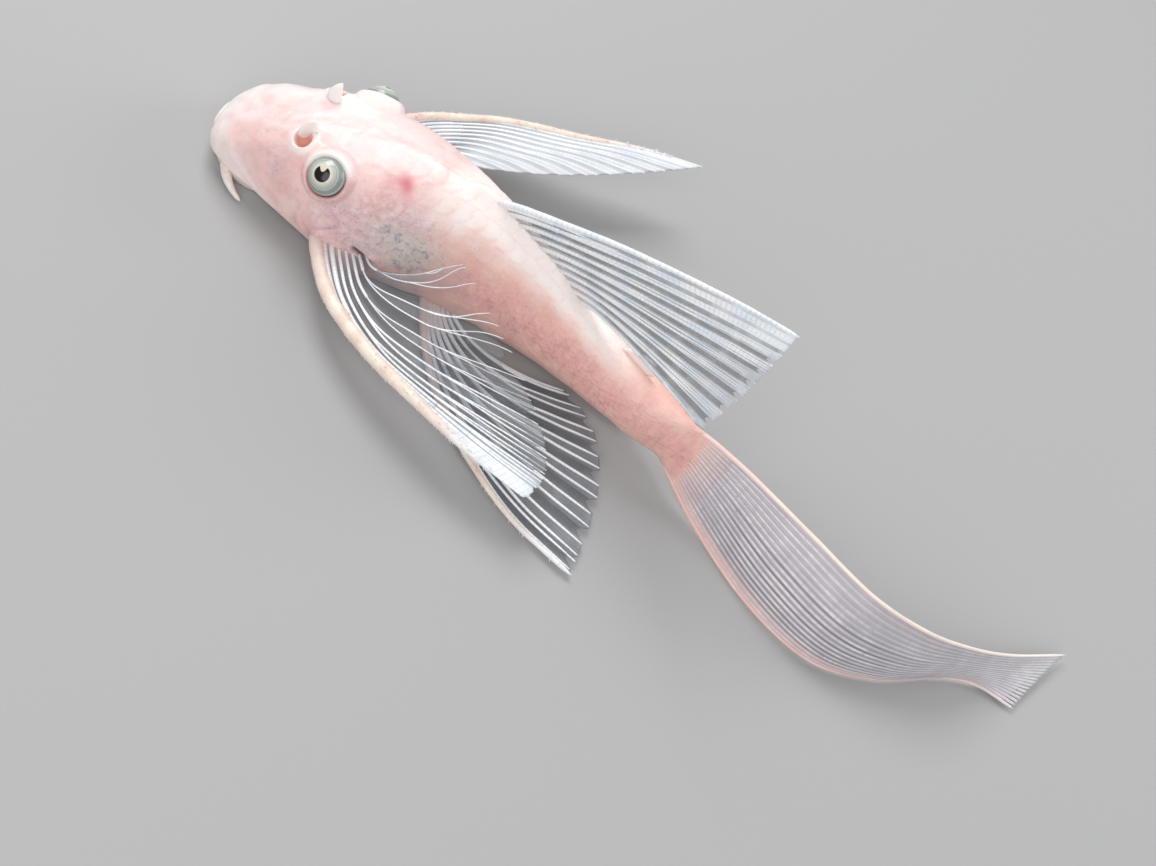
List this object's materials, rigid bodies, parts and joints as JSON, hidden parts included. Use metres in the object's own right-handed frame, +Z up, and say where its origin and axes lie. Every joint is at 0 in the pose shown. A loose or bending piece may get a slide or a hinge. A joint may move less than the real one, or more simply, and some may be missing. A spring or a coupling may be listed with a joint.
{
  "type": "bristlenose pleco",
  "caption": "Still model of a pale longfin bristlenose pleco at life size, resting on its belly with its head turned, long fins spread and its tail fin trailing.",
  "frame": {"origin": "middle of the flat of the belly, on the surface the fish rests on", "axes": "+X forward towards the head, +Y the fish's left, +Z up"},
  "size_m": [0.1373, 0.0679, 0.0338],
  "materials": {
    "flesh": "moist pale pink skin over bony plates",
    "lips": "soft white",
    "eyes": "wet, grey-green",
    "fins": "thin translucent white membrane over white rays"
  },
  "bodies": {
    "root": {"head": "flesh", "torso": "flesh", "tail_stem": "flesh", "mouth": "lips", "eye_left": "eyes", "eye_right": "eyes", "pectoral_fin_left": "fins", "pectoral_fin_right": "fins", "pelvic_fin_left": "fins", "pelvic_fin_right": "fins", "dorsal_fin": "fins", "adipose_fin": "fins", "anal_fin": "fins", "caudal_fin": "fins"}
  },
  "joints": []
}
